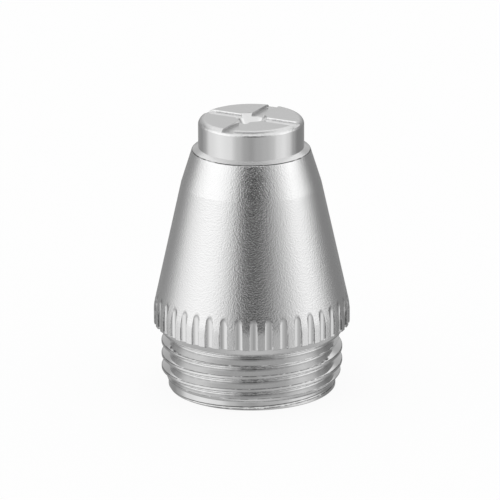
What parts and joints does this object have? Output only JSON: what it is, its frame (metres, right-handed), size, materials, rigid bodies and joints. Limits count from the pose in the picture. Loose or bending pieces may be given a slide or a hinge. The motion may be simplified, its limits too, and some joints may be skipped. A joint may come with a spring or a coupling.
{
  "type": "plasma torch nozzle",
  "caption": "Screw-in plasma torch nozzle: threaded base, fluted grip band, tapering body and slotted tip with a small central orifice.",
  "frame": {"origin": "centre of the flat threaded end, on the turning axis", "axes": "+Z along the turning axis towards the tip; one slot of the tip face runs along X and the other along Y"},
  "size_m": [0.0154, 0.0154, 0.022],
  "materials": {
    "plated_copper": "bright silver plating, satin on the cone"
  },
  "bodies": {
    "root": {"nozzle": "plated_copper"}
  },
  "joints": []
}
